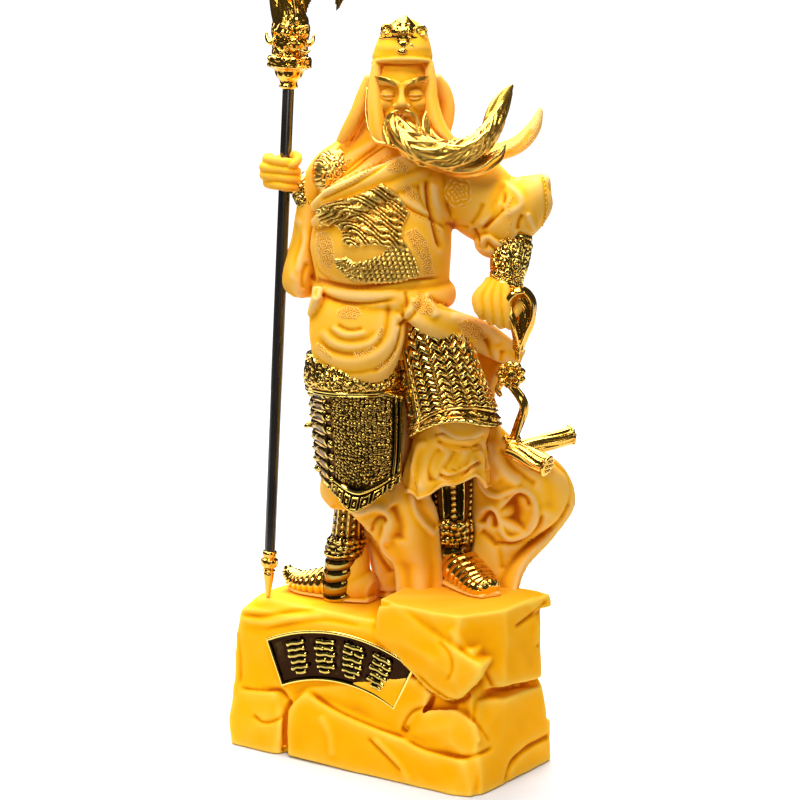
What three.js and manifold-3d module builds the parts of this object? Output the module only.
// A gilt resin statue of a bearded warrior in robe and armour, standing on a rock plinth.
// Millimetres, +Z up. The origin is the centre of the plinth's underside and the plinth's front faces -Y.
// The figure is laid out in the frame of its best view, turned from the plinth's front:
// u runs to the viewer's right, d runs away from the viewer and z runs up from the low rock.

import * as THREE from "three";
import { mergeVertices } from "three/addons/utils/BufferGeometryUtils.js";
import Module from "manifold-3d";

const wasm = await Module();
wasm.setup();

// Plinth
const plinthLength = 212;
const plinthDepth = 100;
const lowRockHeight = 105;
const highRockHeight = 120;

// How far the rock's faces lean in from the ground to the low rock's top, as a share of the half depth
const batter = 0.14;

// Where the rock's front face starts at the ground, as a share of the half depth
const frontShare = 0.96;

// Figure: its height from the low rock to the tip of the hat. Its forms are laid out in units of its own,
// of which its height has 402, so they are shares of that height.
const figureHeight = 402;
const figureUnits = 402;
const share = figureHeight / figureUnits;
const bestViewTurn = THREE.MathUtils.degToRad(34);

// Glaive
const shaftRadius = 3.6;
const shaftTurnedOut = THREE.MathUtils.degToRad(2.8);
const shaftFoot = { u: -82, d: 20 };
const ferruleLength = 33;
const ferruleRadius = 6;
const shaftTop = 352;
const collarRadius = 14.4;
const bladeThickness = 4.4;
const bladeLength = 96;

// Plaque
const plaqueOuterRadius = 144;
const plaqueBand = 35;
const plaqueHalfAngle = THREE.MathUtils.degToRad(25.5);
const plaqueThickness = 5;
const plaqueRecess = 2.5;
const plaqueTop = 94;
const plaqueAcross = -8;
const rimWidth = 2.4;
const rimHeight = 1.2;
const strokeLength = 15;
const strokePitch = 7;

// Clearance left between pieces that touch
const gap = 0.3;

// How closely the joined forms of a casting are kept
const castTolerance = 0.6;

const sandGold = { color: 0xf3ab33, roughness: 0.62, metalness: 0.15 };
const platedGold = { color: 0xe8ac3a, roughness: 0.14, metalness: 1 };
const blackLacquer = { color: 0x0b0908, roughness: 0.2, metalness: 0 };

const V = (x, y, z) => new THREE.Vector3(x, y, z);
const { clamp, degToRad, lerp } = THREE.MathUtils;

// A three.js geometry with every vertex moved by a function, as a solid.
function formed(geometry, place) {
  geometry.deleteAttribute("normal");
  geometry.deleteAttribute("uv");
  const shape = mergeVertices(geometry, 1e-4);
  const position = shape.attributes.position;
  const point = new THREE.Vector3();
  for (let i = 0; i < position.count; i++) {
    point.fromBufferAttribute(position, i);
    const moved = place(point, i);
    position.setXYZ(i, moved.x, moved.y, moved.z);
  }
  return solidOf(shape);
}

// Six times the volume that the triangles enclose, negative if they face inwards.
function signedVolume(position, index) {
  let sum = 0;
  const [a, b, c] = [V(), V(), V()];
  for (let i = 0; i < index.length; i += 3) {
    a.fromBufferAttribute(position, index[i]);
    b.fromBufferAttribute(position, index[i + 1]);
    c.fromBufferAttribute(position, index[i + 2]);
    sum += a.dot(b.cross(c));
  }
  return sum;
}

function solidOf(shape) {
  const position = shape.attributes.position;
  const triVerts = new Uint32Array(shape.index.array);
  if (signedVolume(position, triVerts) < 0)
    for (let i = 0; i < triVerts.length; i += 3)
      [triVerts[i + 1], triVerts[i + 2]] = [triVerts[i + 2], triVerts[i + 1]];
  const vertProperties = new Float32Array(position.array);
  return new wasm.Manifold(new wasm.Mesh({ numProp: 3, vertProperties, triVerts }));
}

// Forms joined as one casting, exact to castTolerance
const joined = (solids) => solids.reduce((whole, solid) => whole.add(solid)).setTolerance(castTolerance);

// The skins of a solid that face outwards: a hollow closed in between joined forms is filled.
function withoutSealedHollows(solid) {
  const { vertProperties, triVerts } = solid.getMesh();
  const shape = new THREE.BufferGeometry();
  shape.setAttribute("position", new THREE.BufferAttribute(new Float32Array(vertProperties), 3));
  const skins = skinsOf(triVerts, vertProperties.length / 3);
  const outer = skins.filter((skin) => signedVolume(shape.attributes.position, skin) > 1);
  shape.setIndex(outer.flat());
  return solidOf(mergeVertices(shape, 1e-6));
}

// The triangles grouped by the vertices that link them
function skinsOf(triVerts, count) {
  const leader = Array.from({ length: count }, (_, i) => i);
  const find = (i) => {
    while (leader[i] !== i) i = leader[i] = leader[leader[i]];
    return i;
  };
  for (let i = 0; i < triVerts.length; i += 3)
    for (const other of [triVerts[i + 1], triVerts[i + 2]]) leader[find(other)] = find(triVerts[i]);
  const skins = new Map();
  for (let i = 0; i < triVerts.length; i += 3) {
    const key = find(triVerts[i]);
    if (!skins.has(key)) skins.set(key, []);
    skins.get(key).push(triVerts[i], triVerts[i + 1], triVerts[i + 2]);
  }
  return [...skins.values()];
}

function meshOf(name, solid, finish) {
  const { vertProperties, triVerts } = solid.getMesh();
  const geometry = new THREE.BufferGeometry();
  geometry.setAttribute("position", new THREE.BufferAttribute(vertProperties, 3));
  geometry.setIndex(new THREE.BufferAttribute(triVerts, 1));
  geometry.computeVertexNormals();
  const mesh = new THREE.Mesh(geometry, new THREE.MeshStandardMaterial(finish));
  mesh.name = name;
  return mesh;
}

// The value at t (0 to 1) of a smooth run through rows of numbers.
function along(rows, t) {
  const last = rows.length - 1;
  const at = clamp(t, 0, 1) * last;
  const i = Math.min(Math.floor(at), last - 1);
  const f = at - i;
  const row = (k) => rows[clamp(k, 0, last)];
  return rows[0].map((_, c) => {
    const [p0, p1, p2, p3] = [row(i - 1)[c], row(i)[c], row(i + 1)[c], row(i + 2)[c]];
    const [m1, m2] = [(p2 - p0) / 2, (p3 - p1) / 2];
    return (
      (2 * f ** 3 - 3 * f ** 2 + 1) * p1 +
      (f ** 3 - 2 * f ** 2 + f) * m1 +
      (3 * f ** 2 - 2 * f ** 3) * p2 +
      (f ** 3 - f ** 2) * m2
    );
  });
}

// A rounded form through rings of [u, d, z, half width, half depth], like clay round a wire.
// facing turns the rings about z, level keeps them flat, folds adds to them by angle and t,
// floor cuts them off flat and unit is the length of one unit in millimetres.
const noFloor = -Infinity;
const limbDefaults = { around: 12, steps: 8, facing: 0, level: false, folds: null, floor: noFloor, unit: share };
function limb(rings, options = {}) {
  const { around, steps, facing, level, folds, floor, unit } = { ...limbDefaults, ...options };
  const turn = degToRad(facing);
  const side = V(Math.cos(turn), Math.sin(turn), 0);
  return formed(new THREE.CylinderGeometry(1, 1, 1, around, steps), (p) => {
    const t = p.y + 0.5;
    const [u, d, z, wide, deep] = along(rings, t);
    const before = along(rings, t - 0.02);
    const after = along(rings, t + 0.02);
    const way = level ? V(0, 0, 1) : V(after[0] - before[0], after[1] - before[1], after[2] - before[2]);
    way.normalize();
    const across = side.clone().addScaledVector(way, -side.dot(way)).normalize();
    const front = way.clone().cross(across);
    const angle = Math.atan2(p.z, p.x);
    const reach = Math.hypot(p.x, p.z);
    const extra = folds ? folds(angle, t) : 0;
    const place = V(u, d, z)
      .addScaledVector(across, Math.cos(angle) * reach * (wide + extra))
      .addScaledVector(front, Math.sin(angle) * reach * (deep + extra));
    return V(place.x, place.y, Math.max(place.z, floor)).multiplyScalar(unit);
  });
}

// An egg of half sizes [u, d, z] turned about z.
function blob([u, d, z], [ru, rd, rz], { turn = 0, around = 10, rows = 6, unit = share } = {}) {
  const a = degToRad(turn);
  return formed(new THREE.SphereGeometry(1, around, rows), (p) => {
    const [x, y] = [p.x * ru, p.z * rd];
    const place = V(u + x * Math.cos(a) - y * Math.sin(a), d + x * Math.sin(a) + y * Math.cos(a), z + p.y * rz);
    return place.multiplyScalar(unit);
  });
}

// A sheet of the given thickness through a net of points, with folds that push it along its normal.
function cloth(net, thickness, { across = 8, down = 8, folds = () => 0, floor = noFloor } = {}) {
  const middle = (s, t) => {
    const column = net.map((row) => along(row, s));
    return V(...along(column, t));
  };
  const step = 0.01;
  return formed(new THREE.BoxGeometry(1, 1, 1, across, down, 1), (p) => {
    const [s, t] = [p.x + 0.5, 0.5 - p.y];
    const [s0, s1] = [Math.max(s - step, 0), Math.min(s + step, 1)];
    const [t0, t1] = [Math.max(t - step, 0), Math.min(t + step, 1)];
    const sideways = middle(s1, t).sub(middle(s0, t));
    const downwards = middle(s, t1).sub(middle(s, t0));
    const normal = sideways.cross(downwards).normalize();
    const place = middle(s, t).addScaledVector(normal, p.z * thickness + folds(s, t));
    return V(place.x, place.y, Math.max(place.z, floor)).multiplyScalar(share);
  });
}

// Rounded folds: ridges that grow from none at t0 to depth at t1.
const pleats = (count, depth, phase = 0, t0 = 0, t1 = 1) => (angle, t) =>
  depth * clamp((t - t0) / (t1 - t0), 0, 1) * Math.cos(count * angle + phase);

// Height of the raised rock above the low one, in the figure's own units
const rise = (highRockHeight - lowRockHeight) / share;
const lowSole = gap / share;
const highSole = rise + gap / share;
const kneeHeight = 125;
const modelledRise = 15;

// Rings or points of what stands on the raised rock: below the knee they follow its height.
const onHighRock = (rings) =>
  rings.map(([u, d, z, ...size]) => {
    const squeeze = (kneeHeight - rise) / (kneeHeight - modelledRise);
    return [u, d, z < kneeHeight ? rise + (z - modelledRise) * squeeze : z, ...size];
  });

const bodyFacing = -22;

function trunk() {
  const torso = limb(
    [
      [-1, 4, 176, 44, 34],
      [-1, 0, 206, 44, 35],
      [-2, -2, 230, 46, 39],
      [-3, -3, 250, 48, 42],
      [-1, -1, 270, 46, 40],
      [1, 1, 287, 46, 34],
      [6, 3, 303, 41, 26],
      [10, 2, 316, 21, 18],
      [11, -4, 334, 14, 14],
    ],
    { around: 16, steps: 8, facing: bodyFacing, level: true },
  );
  const belt = limb(
    [
      [-1, -1, 210, 46, 37],
      [-1, -1, 213, 49, 41],
      [-1, -1, 222, 49, 42],
      [-1, -1, 225, 46, 38],
    ],
    { around: 12, steps: 3, facing: bodyFacing, level: true },
  );
  const apron = limb(
    [
      [-18, -30, 160, 10, 6],
      [-20, -29, 168, 26, 13],
      [-19, -28, 188, 33, 16],
      [-18, -25, 208, 34, 15],
      [-17, -20, 220, 32, 12],
    ],
    { around: 12, steps: 5, facing: bodyFacing, level: true },
  );
  const collarFold = (lift) =>
    limb(
      [
        [38, -14, 304 + lift, 4, 3],
        [20, -29, 298 + lift, 5, 4],
        [-10, -36, 285 + lift, 5, 4],
        [-36, -26, 272 + lift, 5, 4],
        [-47, -10, 264 + lift, 4, 3],
      ],
      { around: 6, steps: 6, facing: 90 },
    );
  const shoulderGuard = blob([-31, -2, 298], [17, 16, 15], { turn: 20, around: 8, rows: 5 });
  return [torso, belt, apron, collarFold(0), collarFold(11), shoulderGuard];
}

function legsAndBoots() {
  const rightLeg = limb(
    [
      [-24, 0, 198, 26, 26],
      [-24, -6, 155, 28, 25],
      [-22, -6, 120, 26, 24],
      [-21, -3, 98, 25, 22],
      [-22, 2, 80, 27, 21],
      [-25, 5, 68, 17, 15],
    ],
    { around: 12, steps: 6, level: true, folds: pleats(4, 3, 1, 0.6, 0.9) },
  );
  const rightShaft = limb(
    [
      [-24, 6, 78, 10, 10],
      [-26, 10, 50, 10.5, 10.5],
      [-28, 13, 34, 12, 12],
      [-29, 15, 16, 13, 13],
      [-28, 14, lowSole, 13, 12],
    ],
    { around: 9, steps: 5, level: true },
  );
  const rightFoot = limb(
    [
      [-12, 8, 8, 7, 7],
      [-18, 12, 9, 10, 11],
      [-34, 21, 11, 11, 12],
      [-48, 29, 8, 11, 9],
      [-60, 36, 7, 9, 7],
      [-67, 40, 11, 5, 5],
      [-69, 41, 17, 2, 2],
    ],
    { around: 8, steps: 7, facing: 60, floor: lowSole },
  );
  const leftLeg = limb(
    onHighRock([
      [24, -6, 198, 24, 24],
      [33, -14, 172, 24, 24],
      [42, -20, 148, 23, 23],
      [46, -22, 130, 24, 21],
      [44, -18, 112, 24, 21],
      [43, -11, 96, 26, 22],
      [44, -5, 82, 24, 20],
      [46, 0, 72, 15, 15],
    ]),
    { around: 10, steps: 8, level: true, folds: pleats(4, 3.5, 0.6, 0.55, 0.85) },
  );
  const leftShaft = limb(
    onHighRock([
      [46, -1, 86, 12, 12],
      [48, 4, 60, 12, 12],
      [47, 7, 42, 12.5, 12.5],
      [47, 8, 28, 14, 14],
      [47, 9, modelledRise, 14, 13],
    ]),
    { around: 9, steps: 5, level: true, floor: highSole },
  );
  const leftFoot = limb(
    onHighRock([
      [40, 24, 21, 6, 5],
      [43, 17, 24, 11, 9],
      [50, 3, 27, 13, 12],
      [60, -15, 24, 13, 9],
      [67, -28, 22, 11, 7],
      [71, -35, 22, 5, 4],
    ]),
    { around: 8, steps: 6, floor: highSole },
  );
  return [rightLeg, rightShaft, rightFoot, leftLeg, leftShaft, leftFoot];
}

function thighArmour() {
  const panel = cloth(
    [
      [[-48, -6, 158], [-34, -30, 159], [-12, -37, 158], [12, -32, 152]],
      [[-48, -6, 138], [-34, -30, 138], [-12, -37, 136], [12, -33, 132]],
      [[-46, -4, 112], [-32, -29, 108], [-12, -36, 106], [11, -33, 110]],
      [[-43, 0, 94], [-32, -26, 84], [-19, -33, 74], [10, -30, 96]],
    ],
    5,
    { across: 6, down: 4 },
  );
  const panelTop = limb(
    [
      [-19, -8, 152, 32, 30],
      [-19, -8, 160, 33, 32],
      [-19, -8, 176, 32, 28],
    ],
    { around: 14, steps: 2, level: true },
  );
  const knobPitch = 10.5;
  const sideKnobs = [0, 1, 2, 3, 4, 5].map((i) =>
    blob([-49 + i * 0.8, 0, 148 - i * knobPitch], [3.4, 5, 4.6], { around: 6, rows: 3 }),
  );
  const kneeGuard = limb(
    [
      [28, -13, 196, 24, 23],
      [36, -20, 170, 26, 26],
      [43, -26, 148, 28, 27],
      [46, -28, 136, 29, 28],
      [47, -29, 130, 30, 29],
    ],
    { around: 14, steps: 4 },
  );
  return [panel, panelTop, ...sideKnobs, kneeGuard];
}

// Upright folds of hanging cloth, count of them across, leaning as they go down
const hangingFolds = (count, depth, lean = 0) => (s, t) => depth * Math.sin(2 * Math.PI * (count * s + lean * t));

function drapery() {
  const skirt = limb(
    onHighRock([
      [2, 10, 204, 44, 30],
      [6, 12, 176, 46, 27],
      [12, 13, 145, 47, 24],
      [20, 14, 112, 49, 22],
      [30, 14, 80, 50, 20],
      [36, 10, 50, 46, 18],
      [41, 4, 28, 44, 17],
      [43, 1, modelledRise, 44, 17],
    ]),
    { around: 16, steps: 7, level: true, folds: pleats(5, 3.2, 0.5, 0.2, 0.7), floor: highSole },
  );
  const cloak = cloth(
    [
      [[-30, 30, 204], [8, 34, 208], [36, 28, 204], [50, 14, 194]],
      [[-34, 34, 176], [10, 38, 176], [58, 24, 178], [90, 2, 180]],
      [[-34, 34, 150], [10, 40, 150], [48, 28, 150], [76, 4, 151]],
      [[-28, 34, 122], [12, 40, 122], [52, 26, 122], [80, 4, 122]],
      [[-24, 34, 97], [24, 40, 97], [80, 26, 98], [118, 6, 101]],
      [[-18, 32, 70], [28, 40, 70], [88, 30, 70], [131, 6, 72]],
      [[-10, 30, 46], [30, 34, 46], [80, 24, 45], [116, 4, 46]],
      [[-6, 26, 27], [30, 24, 28], [68, 10, 28], [97, -6, 27]],
      [[-4, 22, modelledRise], [30, 18, modelledRise], [66, 4, modelledRise], [90, -12, modelledRise]],
    ].map(onHighRock),
    9,
    { across: 6, down: 9, folds: hangingFolds(2.4, 3, 0.3), floor: highSole },
  );
  const billowCurl = limb(
    onHighRock([
      [64, -8, 116, 6, 8],
      [84, -4, 98, 11, 10],
      [104, 0, 84, 14, 11],
      [108, 2, 62, 14, 11],
      [92, 0, 48, 11, 9],
      [76, 0, 52, 7, 7],
    ]),
    { around: 9, steps: 8, facing: 90 },
  );
  const hemBetween = limb(
    onHighRock([
      [-2, -6, 100, 9, 9],
      [-8, -10, 82, 12, 10],
      [-2, -8, 62, 13, 11],
      [12, -6, 44, 15, 10],
      [22, -8, 28, 18, 9],
      [26, -6, modelledRise, 16, 7],
    ]),
    { around: 8, steps: 6, floor: highSole },
  );
  const sash = limb(
    [
      [14, -34, 216, 10, 8],
      [28, -34, 206, 14, 10],
      [46, -22, 196, 12, 11],
      [64, -6, 188, 11, 10],
      [80, 0, 178, 10, 8],
      [92, 4, 172, 5, 5],
    ],
    { around: 9, steps: 7, facing: 90, folds: pleats(3, 2, 0.4) },
  );
  const sashLoop = limb(
    [
      [-46, -14, 222, 5, 4],
      [-54, -16, 214, 6, 5],
      [-55, -17, 204, 6, 5],
      [-49, -16, 198, 4, 4],
    ],
    { around: 6, steps: 4, facing: 90 },
  );
  return [skirt, cloak, billowCurl, hemBetween, sash, sashLoop];
}

// A closed hand round a grip at [u, d, z]: four knuckles stacked up, each finger's pitch apart.
function closedHand([u, d, z], [wide, deep], pitch) {
  const fingers = 4;
  const high = fingers * pitch;
  const rings = [
    [u, d, z - high / 2, wide * 0.7, deep * 0.7],
    [u, d, z - high / 4, wide, deep],
    [u, d, z, wide, deep],
    [u, d, z + high / 4, wide, deep],
    [u, d, z + high / 2, wide * 0.7, deep * 0.7],
  ];
  const knuckles = (_, t) => -1.3 * Math.cos(2 * Math.PI * fingers * t);
  return limb(rings, { around: 10, steps: 2 * fingers, level: true, folds: knuckles });
}

function rightArm() {
  const upper = limb(
    [
      [-22, 8, 302, 18, 18],
      [-34, 16, 296, 18, 17],
      [-45, 22, 283, 14, 14],
      [-50, 24, 274, 11, 12],
    ],
    { around: 10, steps: 4, facing: 90 },
  );
  const bracer = limb(
    [
      [-46, 23, 274, 11, 11],
      [-53, 22, 283, 10, 10],
      [-60, 21, 291, 8, 8],
    ],
    { around: 9, steps: 3, facing: 90 },
  );
  const sleeve = limb(
    [
      [-46, 22, 284, 12, 12],
      [-51, 24, 266, 10, 13],
      [-53, 24, 248, 11, 14],
      [-57, 22, 232, 13, 15],
      [-58, 20, 219, 12, 12],
      [-56, 18, 211, 5, 5],
    ],
    { around: 10, steps: 6, level: true, folds: pleats(4, 1.6, 0.3, 0.2, 0.8) },
  );
  const hand = closedHand([-69, 19, 296], [13, 10], 6.6);
  return [upper, bracer, sleeve, hand];
}

function leftArm() {
  const sleeve = limb(
    [
      [26, 2, 300, 22, 22],
      [40, 1, 297, 24, 25],
      [54, -2, 288, 24, 26],
      [68, -5, 276, 22, 25],
      [80, -8, 266, 19, 21],
      [84, -10, 256, 15, 16],
    ],
    { around: 12, steps: 6, facing: 90, folds: pleats(3, 1.6, 0.5) },
  );
  const cuff = limb(
    [
      [70, -8, 262, 17, 18],
      [82, -7, 264, 23, 22],
      [94, -4, 270, 27, 22],
      [103, -1, 275, 27, 18],
      [107, 1, 278, 20, 12],
    ],
    { around: 12, steps: 4, facing: 90, folds: pleats(4, 1.4, 1.2) },
  );
  const bracer = limb(
    [
      [84, -12, 258, 14, 14],
      [83, -16, 243, 13, 13],
      [81, -20, 231, 11, 11],
      [80, -21, 226, 12, 12],
      [79, -22, 222, 11, 11],
    ],
    { around: 10, steps: 5 },
  );
  const hand = limb(
    [
      [57, -26, 214, 7, 6],
      [60, -27, 214, 12, 10],
      [71, -27, 214, 13, 11],
      [82, -27, 213, 12, 10],
      [85, -27, 213, 7, 6],
    ],
    { around: 10, steps: 8, facing: 90, folds: (_, t) => -1.2 * Math.cos(2 * Math.PI * 4 * t) },
  );
  return [sleeve, cuff, bracer, hand];
}

// Locks are ridges along the beard's length, blown out to the side.
const locks = (count, depth) => (angle, t) => depth * Math.cos(count * angle) * Math.min(1, 3 * (1 - t));

function beard() {
  const main = limb(
    [
      [12, -26, 338, 10, 8],
      [13, -35, 329, 17, 11],
      [23, -40, 319, 16, 11],
      [40, -40, 312, 12, 10],
      [58, -34, 317, 11, 8],
      [69, -27, 327, 9, 6],
      [76, -20, 339, 6, 4],
      [84, -12, 357, 0.8, 0.8],
    ],
    { around: 16, steps: 9, facing: 60, folds: locks(4, 1.6) },
  );
  const lowerLock = limb(
    [
      [30, -38, 309, 9, 6],
      [50, -37, 303, 8, 6],
      [64, -31, 303, 7, 5],
      [74, -25, 309, 5, 4],
      [79, -21, 318, 1, 1],
    ],
    { around: 8, steps: 5, facing: 60 },
  );
  return [main, lowerLock];
}

function headAndHood() {
  const head = blob([11, -10, 351], [19, 21, 24], { around: 12, rows: 7 });
  const nose = limb(
    [
      [9, -30, 360, 2.4, 2.4],
      [9, -33, 353, 3, 3],
      [9, -33.5, 348, 4.4, 3.4],
    ],
    { around: 6, steps: 2, level: true },
  );
  const ears = [-9.5, 31].map((u) => blob([u, -10, 351], [3, 4, 7], { around: 6, rows: 4 }));
  const hat = limb(
    [
      [11.5, -10, 365, 23, 24],
      [11.5, -10, 371, 23, 24],
      [12, -10, 380, 20, 20],
      [12.5, -9, 389, 16, 15],
      [13, -8, 397, 9, 8],
      [13, -8, 402, 1.5, 1.5],
    ],
    { around: 12, steps: 5, level: true },
  );
  const hatCrest = limb(
    [
      [-1, -16, 389, 3, 3],
      [4, -23, 391, 3.5, 3.5],
      [13, -26, 390, 4, 4],
      [22, -22, 390, 3.5, 3.5],
      [26, -15, 388, 3, 3],
    ],
    { around: 6, steps: 4, facing: 90 },
  );
  const hatJewel = blob([12.5, -32, 378], [4, 3, 4.5], { around: 6, rows: 4 });
  const hood = limb(
    [
      [11, 2, 374, 21, 17],
      [10, 8, 356, 27, 17],
      [9, 11, 338, 31, 19],
      [6, 13, 320, 37, 22],
      [5, 13, 304, 46, 26],
      [4, 12, 288, 47, 29],
      [3, 11, 274, 42, 28],
    ],
    { around: 16, steps: 6, level: true, folds: pleats(5, 1.8, 0, 0.3, 0.8) },
  );
  const moustache = [-1, 1].map((way) =>
    limb(
      [
        [11 + way * 1.5, -33, 344, 2, 2],
        [11 + way * 7, -32, 341, 2.4, 2.4],
        [11 + way * 11, -29, 332, 2.2, 2.2],
        [12 + way * 12, -28, 322, 1.6, 1.6],
      ],
      { around: 6, steps: 4, facing: 90 },
    ),
  );
  const streamer = limb(
    [
      [30, 16, 318, 7, 5],
      [47, 22, 313, 9, 6],
      [67, 27, 308, 11, 6],
      [88, 28, 313, 10, 6],
      [100, 28, 325, 7, 5],
      [105, 28, 339, 1.6, 1.6],
    ],
    { around: 8, steps: 7, facing: 90 },
  );
  return [head, nose, ...ears, hat, hatCrest, hatJewel, hood, ...beard(), ...moustache, streamer];
}

// The glaive stands on the low rock and leans outwards, so its pieces share one tilted frame.
const glaive = new THREE.Group();
glaive.position.set(shaftFoot.u * share, shaftFoot.d * share, gap);
glaive.rotation.y = shaftTurnedOut;
const figure = new THREE.Group();
figure.rotation.z = bestViewTurn;
figure.position.z = lowRockHeight;

// A solid turned on a lathe from [radius, height] points, both ends on the axis
function turned(profile, around = 14) {
  const points = profile.map(([r, z]) => new THREE.Vector2(r, z));
  return formed(new THREE.LatheGeometry(points, around), (p) => V(p.x, -p.z, p.y));
}

function moved(solid, matrix) {
  const { vertProperties, triVerts } = solid.getMesh();
  const shape = new THREE.BufferGeometry();
  shape.setAttribute("position", new THREE.BufferAttribute(new Float32Array(vertProperties), 3));
  shape.setIndex(new THREE.BufferAttribute(triVerts, 1));
  shape.applyMatrix4(matrix);
  return solidOf(shape);
}

const socketDepth = 10;
const shaftBottom = ferruleLength + gap;
const shaftEnd = shaftTop + socketDepth;

function shaft() {
  return turned([
    [0, shaftBottom],
    [shaftRadius, shaftBottom],
    [shaftRadius, shaftEnd],
    [0, shaftEnd],
  ]);
}

function ferrule() {
  return turned(
    [
      [0, 0],
      [1.6, 0.6],
      [ferruleRadius * 0.62, ferruleLength * 0.5],
      [ferruleRadius * 0.55, ferruleLength * 0.56],
      [ferruleRadius, ferruleLength * 0.66],
      [ferruleRadius, ferruleLength * 0.84],
      [ferruleRadius * 0.8, ferruleLength],
      [0, ferruleLength],
    ],
    12,
  );
}

// Where the dragon's mane ends and the bare blade begins
const bladeFoot = shaftTop + 50;

function glaiveHead() {
  const collar = turned(
    [
      [0, shaftTop],
      [shaftRadius + 2, shaftTop],
      [shaftRadius + 2, shaftTop + 5],
      [collarRadius * 0.62, shaftTop + 9],
      [collarRadius * 0.68, shaftTop + 13],
      [collarRadius, shaftTop + 14],
      [collarRadius, shaftTop + 21],
      [collarRadius * 0.84, shaftTop + 22],
      [collarRadius * 0.8, shaftTop + 32],
      [collarRadius * 0.86, shaftTop + 40],
      [collarRadius * 0.6, shaftTop + 52],
      [0, shaftTop + 54],
    ],
    12,
  );
  const socket = turned([
    [0, shaftTop - 5],
    [shaftRadius + gap, shaftTop - 5],
    [shaftRadius + gap, shaftEnd + gap],
    [0, shaftEnd + gap],
  ]);
  const mane = limb(
    [
      [0, 0, shaftTop + 40, 12, 9],
      [-4, 0, shaftTop + 56, 11, 8],
      [-9, 0, shaftTop + 74, 9, 7],
      [-10, 0, shaftTop + 90, 7, 5],
      [-6, 0, shaftTop + 104, 2, 2],
    ],
    { around: 9, steps: 6, level: true, unit: 1 },
  );
  const horns = [-1, 1].map((way) =>
    limb(
      [
        [way * 8, -5, shaftTop + 34, 3, 3],
        [way * 13, -6, shaftTop + 31, 2.6, 2.6],
        [way * 16, -5, shaftTop + 36, 1, 1],
      ],
      { around: 6, steps: 4, unit: 1 },
    ),
  );
  const snout = blob([3, -11, shaftTop + 30], [8, 5, 6], { around: 8, rows: 5, unit: 1 });
  const edge = new THREE.Shape();
  edge.moveTo(-8, 0);
  edge.lineTo(9, -4);
  edge.quadraticCurveTo(12, 12, 22, 22);
  edge.quadraticCurveTo(28, 16, 30, 2);
  edge.quadraticCurveTo(50, 34, 40, 64);
  edge.quadraticCurveTo(34, 84, 14, bladeLength);
  edge.quadraticCurveTo(18, 74, 4, 66);
  edge.lineTo(7, 58);
  edge.lineTo(-3, 52);
  edge.lineTo(0, 44);
  edge.lineTo(-8, 36);
  edge.closePath();
  const blade = formed(
    new THREE.ExtrudeGeometry(edge, { depth: bladeThickness, bevelEnabled: false, curveSegments: 7 }),
    (p) => V(p.x, p.z - bladeThickness / 2, p.y + bladeFoot),
  );
  return joined([collar, mane, ...horns, snout, blade]).subtract(socket);
}

// The hole through the closed hand, a little wider than the shaft
function handHole() {
  const hole = turned([
    [0, shaftBottom],
    [shaftRadius + gap, shaftBottom],
    [shaftRadius + gap, shaftEnd],
    [0, shaftEnd],
  ]);
  glaive.updateMatrix();
  return moved(hole, glaive.matrix);
}

// The knotted ribbon in the left hand and the two crossed rolls tied in its end.
// grow thickens all of it, for the room that it leaves in the hand.
function ribbonAndRolls(grow) {
  const band = limb(
    [
      [86, -37, 221, 4, 3],
      [90, -36, 224, 8, 5],
      [96, -33, 218, 10, 6],
      [97, -31, 207, 10, 6],
      [93, -29, 195, 6, 4],
      [88, -27, 183, 3, 3],
      [84, -26, 173, 7, 6],
      [82, -26, 163, 9, 8],
      [80, -25, 152, 7, 6],
      [86, -24, 142, 4, 4],
      [86, -23, 131, 4, 4],
      [82, -24, 119, 6, 6],
    ],
    { around: 7, steps: 15, folds: () => grow },
  );
  const roll = (from, to, radius) =>
    limb(
      [0, 0.5, 1].map((t) => [...from.map((v, i) => lerp(v, to[i], t)), radius, radius]),
      { around: 9, steps: 2, facing: 30, folds: () => grow },
    );
  const nearRoll = roll([82, -24, 115], [108, -40, 106], 8);
  const farRoll = roll([90, -20, 113], [126, -6, 121], 8);
  return joined([band, nearRoll, farRoll]);
}

// A stone of the plinth, placed by shares of the plinth's half length, half depth and low height.
// tilt leans it about the front-back axis and wobble makes its faces uneven.
function stone(at, half, { tilt = 0, around = 9, top = lowRockHeight, squareness = 0.4, wobble = 0.04, seed = 0 }) {
  const [halfLength, halfDepth] = [plinthLength / 2, plinthDepth / 2];
  const a = degToRad(tilt);
  const block = (v) => Math.sign(v) * Math.abs(v) ** squareness;
  return formed(new THREE.SphereGeometry(1, around, 5), (p) => {
    const flat = Math.hypot(p.x, p.z) || 1;
    const swell = flat ** squareness;
    const ripple = Math.sin(3 * p.x + seed) * Math.cos(4 * p.z + 2 * seed) + Math.sin(5 * p.y + seed);
    const uneven = 1 + wobble * ripple;
    const long = half[0] * halfLength * uneven * swell * block(p.x / flat);
    const deep = half[1] * halfDepth * uneven * swell * block(-p.z / flat);
    const high = half[2] * lowRockHeight * block(p.y);
    const x = at[0] * halfLength + long * Math.cos(a) + high * Math.sin(a);
    const z = at[2] * lowRockHeight - long * Math.sin(a) + high * Math.cos(a);
    const y = at[1] * halfDepth + deep - batter * halfDepth * Math.sign(deep) * clamp(z / lowRockHeight, 0, 1);
    return V(clamp(x, -halfLength, halfLength), clamp(y, -halfDepth, halfDepth), clamp(z, 0, top));
  });
}

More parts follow.
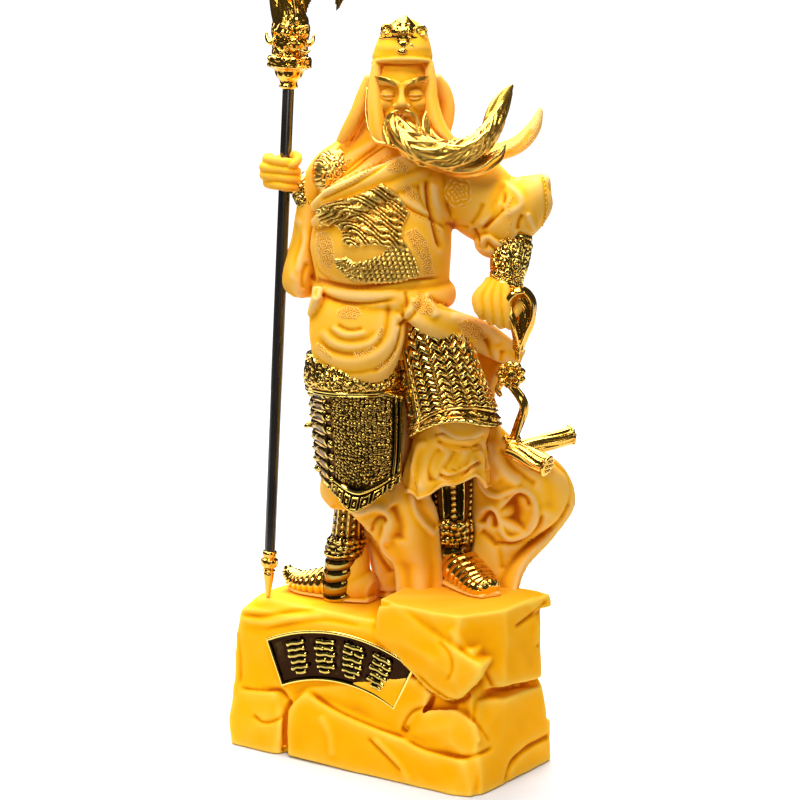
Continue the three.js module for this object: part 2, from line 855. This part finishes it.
function plinthStones() {
  const high = { top: highRockHeight };
  return [
    stone([-0.02, 0, 0.5], [0.96, frontShare, 0.62], { around: 14, squareness: 0.25, wobble: 0.01 }),
    stone([0.56, 0.04, 0.8], [0.47, 0.92, 0.6], { ...high, around: 12, squareness: 0.28, wobble: 0.02, seed: 2 }),
    stone([0.56, -0.68, 0.85], [0.5, 0.32, 0.17], { ...high, tilt: 32, seed: 1 }),
    stone([-0.74, -0.6, 0.2], [0.28, 0.46, 0.3], { seed: 3 }),
    stone([0.26, -0.62, 0.14], [0.76, 0.44, 0.26], { tilt: 10, around: 12, seed: 4 }),
    stone([0.78, -0.6, 0.44], [0.26, 0.42, 0.16], { tilt: 16, seed: 5 }),
    stone([0.8, 0.3, 0.24], [0.23, 0.7, 0.3], { seed: 6 }),
    stone([0.84, 0.44, 0.8], [0.24, 0.5, 0.3], { ...high, tilt: -8, seed: 7 }),
    stone([-0.5, 0.62, 0.34], [0.48, 0.42, 0.42], { seed: 8 }),
  ];
}

// The fan-shaped outline of the plaque, widened by grow
function fan(grow) {
  const outer = plaqueOuterRadius + grow;
  const inner = plaqueOuterRadius - plaqueBand - grow;
  const spread = plaqueHalfAngle + grow / plaqueOuterRadius;
  const outline = new THREE.Shape();
  outline.absarc(0, 0, outer, Math.PI / 2 + spread, Math.PI / 2 - spread, true);
  outline.absarc(0, 0, inner, Math.PI / 2 - spread, Math.PI / 2 + spread, false);
  outline.closePath();
  return outline;
}

// The plaque's face is its own x-y plane, with z out of the rock.
function fanPlate(grow, back, front) {
  const depth = front - back;
  return formed(new THREE.ExtrudeGeometry(fan(grow), { depth, bevelEnabled: false, curveSegments: 9 }), (p) =>
    V(p.x, p.y - plaqueOuterRadius, p.z + back),
  );
}

// Raised rim and four groups of shallow strokes
function plaqueSolid() {
  const plate = fanPlate(0, 0, plaqueThickness - rimHeight);
  const rim = fanPlate(0, 0, plaqueThickness).subtract(fanPlate(-rimWidth, plaqueThickness - rimHeight, plaqueThickness + 1));
  const strokes = [-0.6, -0.2, 0.2, 0.6].flatMap((across) =>
    [-1, 0, 1].map((row) => stroke(across * plaqueHalfAngle, row * strokePitch)),
  );
  return joined([plate, rim, ...strokes]);
}

function stroke(angle, up) {
  const middle = plaqueOuterRadius - plaqueBand / 2 + up;
  const bar = new THREE.BoxGeometry(strokeLength, strokePitch * 0.3, rimHeight * 1.4);
  bar.translate(0, middle, plaqueThickness - rimHeight);
  bar.rotateZ(-angle);
  return formed(bar, (p) => V(p.x, p.y - plaqueOuterRadius, p.z));
}

const plaquePlace = new THREE.Group();
const rockLean = Math.atan((batter * plinthDepth) / 2 / lowRockHeight);
const rockFrontAtPlaque = (plinthDepth / 2) * (-frontShare + (batter * plaqueTop) / lowRockHeight);
plaquePlace.position.set(plaqueAcross, rockFrontAtPlaque + plaqueRecess, plaqueTop);
plaquePlace.rotation.x = Math.PI / 2 - rockLean;
plaquePlace.updateMatrix();

function plinth() {
  const room = moved(fanPlate(gap, -gap, plaqueThickness * 3), plaquePlace.matrix);
  return joined(plinthStones()).subtract(room);
}

const figureSolid = joined([
  ...trunk(),
  ...legsAndBoots(),
  ...thighArmour(),
  ...drapery(),
  ...rightArm(),
  ...leftArm(),
  ...headAndHood(),
])
  .subtract(handHole())
  .subtract(ribbonAndRolls(gap * 1.4));

figure.add(meshOf("figure", withoutSealedHollows(figureSolid), sandGold));
figure.add(meshOf("ribbon_and_rolls", ribbonAndRolls(0), platedGold));
glaive.add(meshOf("glaive_shaft", shaft(), blackLacquer));
glaive.add(meshOf("glaive_foot", ferrule(), platedGold));
glaive.add(meshOf("glaive_head", glaiveHead(), platedGold));
figure.add(glaive);
plaquePlace.add(meshOf("plaque", plaqueSolid(), platedGold));

const statue = new THREE.Group();
statue.add(figure, plaquePlace);
statue.add(meshOf("rock_plinth", withoutSealedHollows(plinth()), sandGold));

export default statue;
